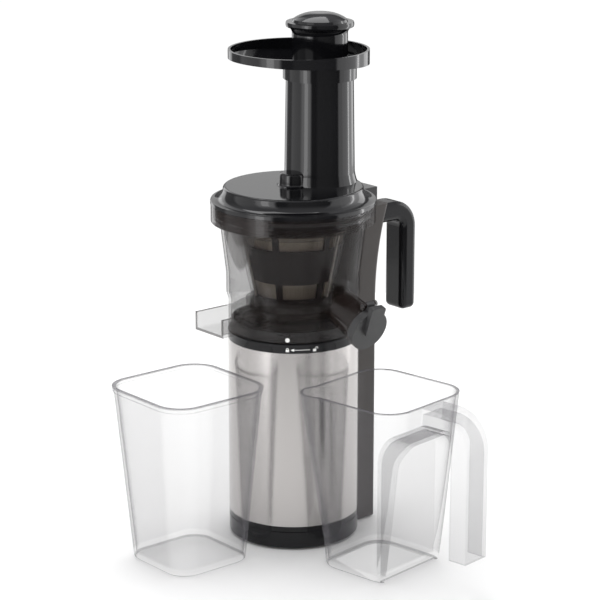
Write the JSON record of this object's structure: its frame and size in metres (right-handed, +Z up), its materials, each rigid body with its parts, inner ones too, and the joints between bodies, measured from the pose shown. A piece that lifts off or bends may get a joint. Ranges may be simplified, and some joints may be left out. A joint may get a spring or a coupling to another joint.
{
  "type": "slow juicer",
  "caption": "Upright slow juicer with a steel motor base, smoky bowl, feed tube with tray and pusher, pulp container and juice jug.",
  "frame": {"origin": "where the juicer's upright axis meets the table", "axes": "+Z up; -Y to the front, where the pulp comes out; +X to the juice spout; +Y to the column and handle"},
  "size_m": [0.2809, 0.2956, 0.45],
  "materials": {
    "base_housing": "gloss",
    "bottom_cover": "matte",
    "rubber_feet": "matte",
    "cover_screws": "satin",
    "steel_sleeve": "brushed",
    "inner_frame": "matte",
    "top_collar": "gloss",
    "drive_deck": "satin",
    "motor_can": "satin",
    "motor_stator": "satin",
    "motor_rotor": "satin",
    "cooling_fan": "satin",
    "motor_bearings": "satin",
    "gearbox_housing": "satin",
    "gearbox_cover": "satin",
    "countershaft": "satin",
    "countershaft_gear": "satin",
    "output_shaft": "satin",
    "shaft_bearings": "satin",
    "shaft_seal": "matte",
    "bowl": "gloss",
    "bayonet_ring": "gloss",
    "pulp_plug": "matte",
    "idler_pin": "satin",
    "idler_gear": "satin",
    "wiper_frame": "gloss",
    "wiper_blades": "matte",
    "strainer_frame": "satin",
    "strainer_mesh": "satin",
    "auger": "satin",
    "auger_gear": "satin",
    "juice_cap": "satin",
    "cap_pin": "satin",
    "cap_seal": "matte",
    "lid": "gloss",
    "lid_seal": "matte",
    "feed_tray": "gloss",
    "pusher": "gloss",
    "pusher_cap": "gloss",
    "column_front": "satin",
    "column_back": "satin",
    "handle": "gloss",
    "handle_screws": "satin",
    "switch_housing": "satin",
    "switch_rocker": "gloss",
    "rocker_pin": "satin",
    "cord_gland": "matte",
    "interlock_plunger": "satin",
    "control_board": "satin",
    "pulp_container": "gloss",
    "juice_jug": "gloss"
  },
  "bodies": {
    "base": {"base_housing": "base_housing", "bottom_cover": "bottom_cover", "rubber_feet": "rubber_feet", "cover_screws": "cover_screws", "steel_sleeve": "steel_sleeve", "inner_frame": "inner_frame", "top_collar": "top_collar", "drive_deck": "drive_deck", "motor_can": "motor_can", "motor_stator": "motor_stator", "motor_bearings": "motor_bearings", "gearbox_housing": "gearbox_housing", "gearbox_cover": "gearbox_cover", "countershaft": "countershaft", "shaft_bearings": "shaft_bearings", "shaft_seal": "shaft_seal", "column_front": "column_front", "column_back": "column_back", "handle": "handle", "handle_screws": "handle_screws", "switch_housing": "switch_housing", "rocker_pin": "rocker_pin", "cord_gland": "cord_gland", "control_board": "control_board"},
    "motor": {"motor_rotor": "motor_rotor", "cooling_fan": "cooling_fan"},
    "counter_gear": {"countershaft_gear": "countershaft_gear"},
    "output": {"output_shaft": "output_shaft"},
    "bowl": {"bowl": "bowl", "bayonet_ring": "bayonet_ring", "pulp_plug": "pulp_plug", "idler_pin": "idler_pin", "strainer_frame": "strainer_frame", "strainer_mesh": "strainer_mesh", "cap_pin": "cap_pin"},
    "auger": {"auger": "auger", "auger_gear": "auger_gear"},
    "idler": {"idler_gear": "idler_gear"},
    "wiper": {"wiper_frame": "wiper_frame", "wiper_blades": "wiper_blades"},
    "cap": {"juice_cap": "juice_cap", "cap_seal": "cap_seal"},
    "lid": {"lid": "lid", "lid_seal": "lid_seal"},
    "tray": {"feed_tray": "feed_tray"},
    "pusher": {"pusher": "pusher", "pusher_cap": "pusher_cap"},
    "rocker": {"switch_rocker": "switch_rocker"},
    "plunger": {"interlock_plunger": "interlock_plunger"},
    "pulp_container": {"pulp_container": "pulp_container"},
    "juice_jug": {"juice_jug": "juice_jug"}
  },
  "joints": [
    {"name": "motor_spin", "type": "hinge", "parent": "base", "child": "motor", "pos_m": [0, 0, 0.06], "axis": [0, 0, 1], "continuous": true},
    {"name": "counter_spin", "type": "hinge", "parent": "base", "child": "counter_gear", "pos_m": [0, -0.0252, 0.11], "axis": [0, 0, 1], "continuous": true},
    {"name": "output_spin", "type": "hinge", "parent": "base", "child": "output", "pos_m": [0, 0, 0.12], "axis": [0, 0, 1], "continuous": true},
    {"name": "bowl_turn", "type": "hinge", "parent": "base", "child": "bowl", "pos_m": [0, 0, 0.19], "axis": [0, 0, 1], "range_deg": [0, 26]},
    {"name": "auger_spin", "type": "hinge", "parent": "bowl", "child": "auger", "pos_m": [0, 0, 0.25], "axis": [0, 0, 1], "continuous": true},
    {"name": "idler_spin", "type": "hinge", "parent": "bowl", "child": "idler", "pos_m": [0, 0.024, 0.206], "axis": [0, 0, 1], "continuous": true},
    {"name": "wiper_spin", "type": "hinge", "parent": "bowl", "child": "wiper", "pos_m": [0, 0, 0.206], "axis": [0, 0, 1], "continuous": true},
    {"name": "cap_hinge", "type": "hinge", "parent": "bowl", "child": "cap", "pos_m": [0.09676, 0, 0.22343], "axis": [0, -1, 0], "range_deg": [0, 100]},
    {"name": "lid_lift", "type": "slide", "parent": "bowl", "child": "lid", "axis": [0, 0, 1], "range_m": [0, 0.12]},
    {"name": "tray_lift", "type": "slide", "parent": "lid", "child": "tray", "axis": [0, 0, 1], "range_m": [0, 0.06]},
    {"name": "pusher_slide", "type": "slide", "parent": "tray", "child": "pusher", "axis": [0, 0, 1], "range_m": [-0.02, 0.12]},
    {"name": "rocker_tilt", "type": "hinge", "parent": "base", "child": "rocker", "pos_m": [0, 0.0703, 0.062], "axis": [1, 0, 0], "range_deg": [-10, 10]},
    {"name": "plunger_slide", "type": "slide", "parent": "base", "child": "plunger", "axis": [0, 0, 1], "range_m": [0, 0.0015]},
    {"name": "pulp_container_slide", "type": "slide", "parent": "base", "child": "pulp_container", "axis": [0, -1, 0], "range_m": [0, 0.1]},
    {"name": "juice_jug_slide", "type": "slide", "parent": "base", "child": "juice_jug", "axis": [1, 0, 0], "range_m": [0, 0.1]}
  ],
  "couplings": [
    {"joint": "counter_spin", "follows": "motor_spin", "ratio": -0.2},
    {"joint": "output_spin", "follows": "motor_spin", "ratio": 0.05},
    {"joint": "auger_spin", "follows": "motor_spin", "ratio": 0.05},
    {"joint": "idler_spin", "follows": "motor_spin", "ratio": -0.05},
    {"joint": "wiper_spin", "follows": "motor_spin", "ratio": -0.016667},
    {"joint": "plunger_slide", "follows": "lid_lift", "ratio": 0.0125}
  ]
}
